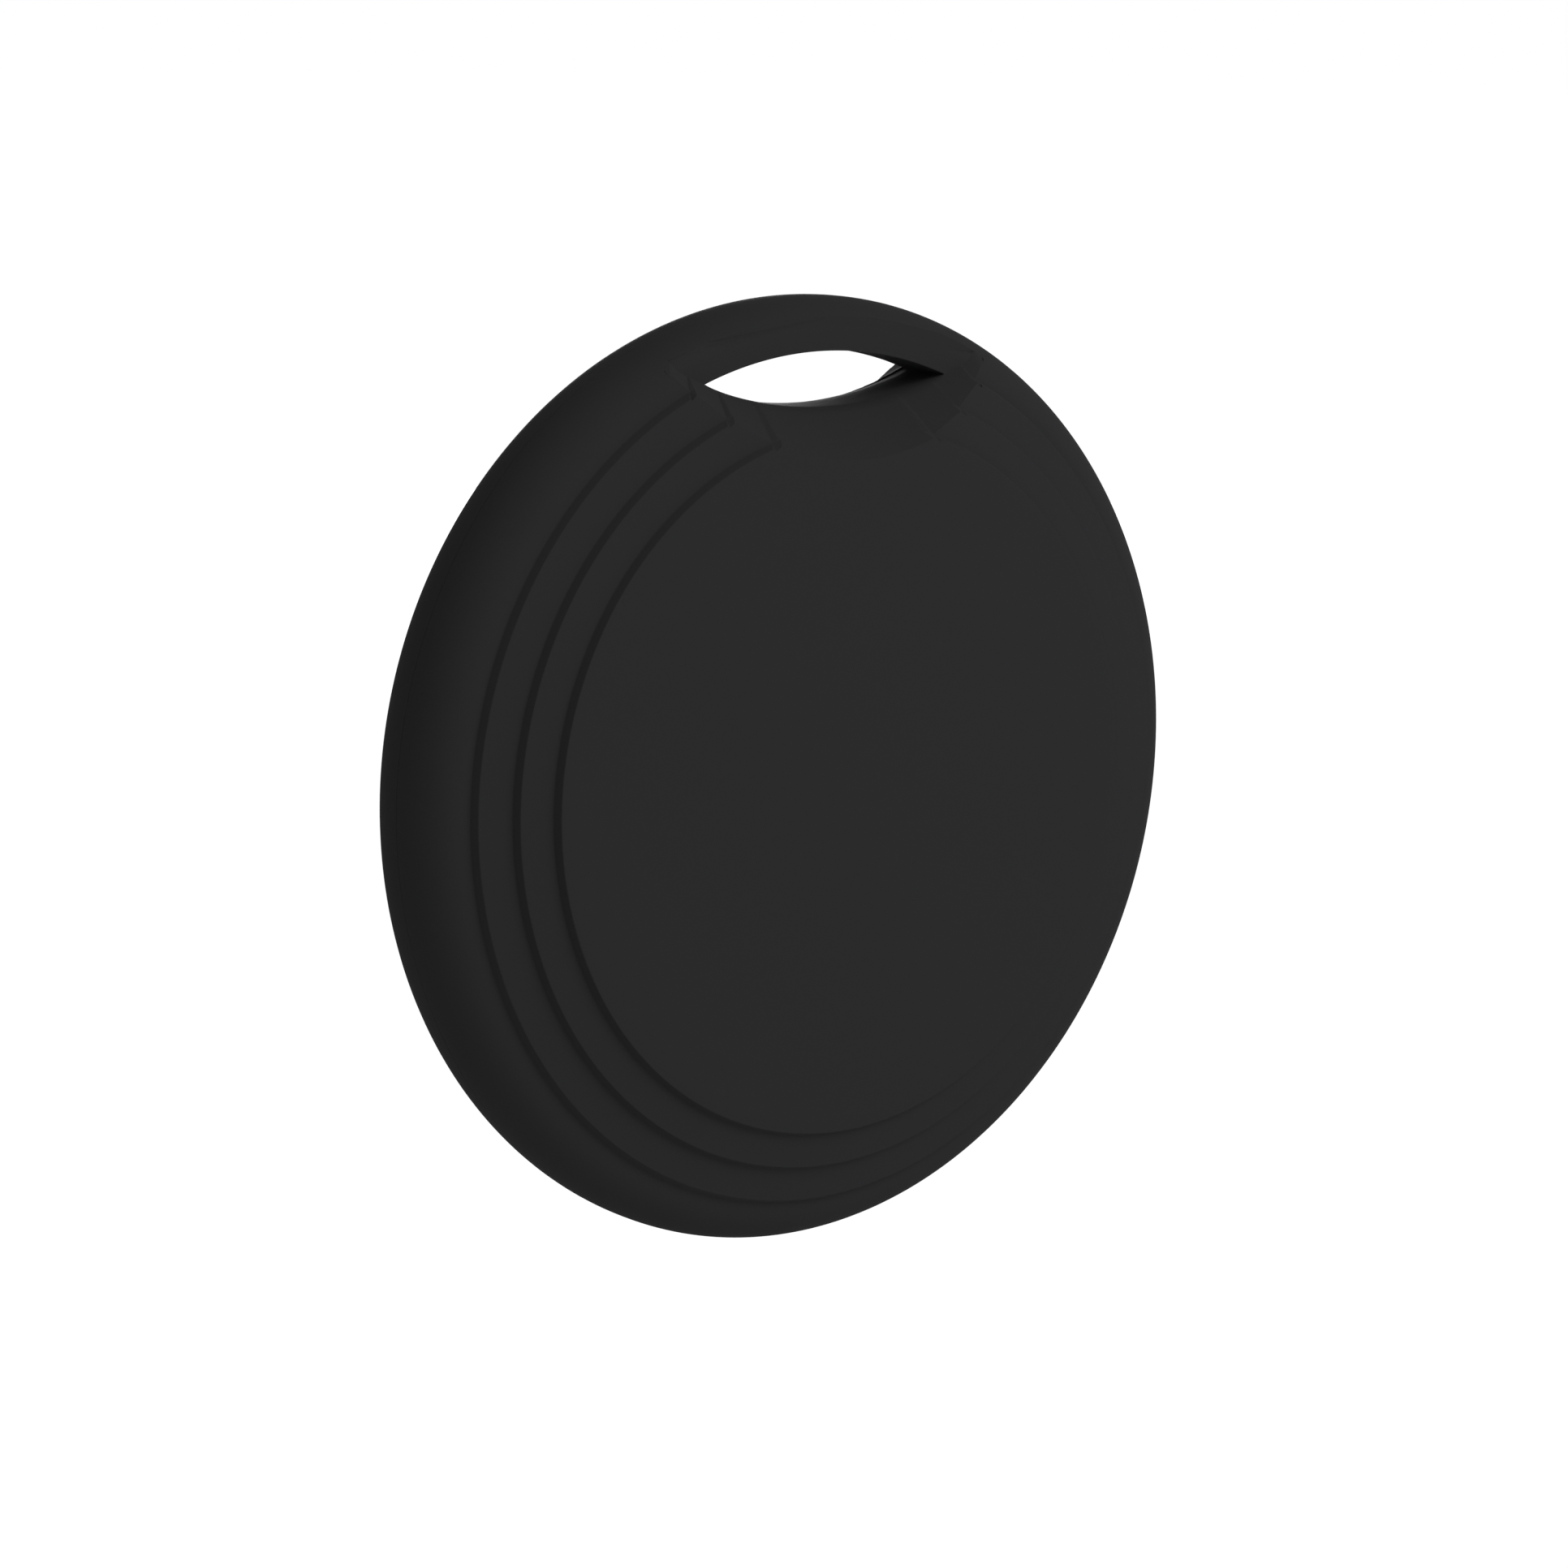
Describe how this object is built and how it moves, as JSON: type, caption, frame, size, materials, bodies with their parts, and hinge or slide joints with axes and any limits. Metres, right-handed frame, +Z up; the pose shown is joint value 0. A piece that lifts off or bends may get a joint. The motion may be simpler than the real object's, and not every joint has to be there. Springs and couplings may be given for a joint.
{
  "type": "bluetooth tracker tag",
  "caption": "Round domed tracker tag with stepped face rings and a key-ring loop; two half shells hold a board, a button switch, a coin cell and a sounder.",
  "frame": {"origin": "middle of the key-ring loop's hole, on the parting plane of the two half shells", "axes": "+Z up, from the disc towards the loop; -Y out of the stepped front face; +X to the right as seen from the front"},
  "size_m": [0.038, 0.0077, 0.038],
  "materials": {
    "housing": "fine matte texture, charcoal black",
    "silicone": "translucent grey silicone",
    "board": "solder mask over woven glass laminate",
    "package": "moulded epoxy",
    "plated_lid": "nickel-plated lid",
    "ceramic": "fired ceramic, off-white",
    "capacitor": "fired ceramic with tinned ends",
    "spring_steel": "bright spring steel",
    "button": "ivory nylon",
    "cradle": "black moulded nylon",
    "gold_plate": "gold plate",
    "brass": "rolled brass",
    "film": "polyimide film",
    "foam": "closed-cell foam",
    "cell_steel": "nickel-plated steel",
    "grommet": "nylon",
    "pellet": "pressed powder"
  },
  "bodies": {
    "tag": {"front_shell": "housing", "circuit_board": "board", "radio_chip": "package", "radio_crystal": "plated_lid", "clock_crystal": "plated_lid", "chip_antenna": "ceramic", "boost_coil": "package", "sounder_driver": "package", "chip_capacitors": "capacitor", "chip_resistors": "package", "switch_base": "package", "switch_dome": "spring_steel", "switch_cover": "spring_steel", "cell_cradle": "cradle", "positive_clip": "spring_steel", "negative_contact": "spring_steel", "sounder_pins": "gold_plate"},
    "back": {"back_shell": "housing", "seal_ring": "silicone", "sounder_plate": "brass", "sounder_ceramic": "ceramic", "sounder_lead": "film", "cell_cushions": "foam"},
    "cell": {"cell_can": "cell_steel", "cell_grommet": "grommet", "cell_cap": "cell_steel", "cell_pellet": "pellet"},
    "button": {"switch_button": "button"}
  },
  "joints": [
    {"name": "back_release", "type": "slide", "parent": "tag", "child": "back", "axis": [0, 1, 0], "range_m": [0, 0.008]},
    {"name": "cell_release", "type": "slide", "parent": "tag", "child": "cell", "axis": [0, 1, 0], "range_m": [0, 0.004]},
    {"name": "button_press", "type": "slide", "parent": "tag", "child": "button", "axis": [0, 1, 0], "range_m": [0, 0.00015], "stiffness_N_per_m": 4000}
  ],
  "couplings": [
    {"joint": "cell_release", "follows": "back_release", "ratio": 0.5}
  ]
}
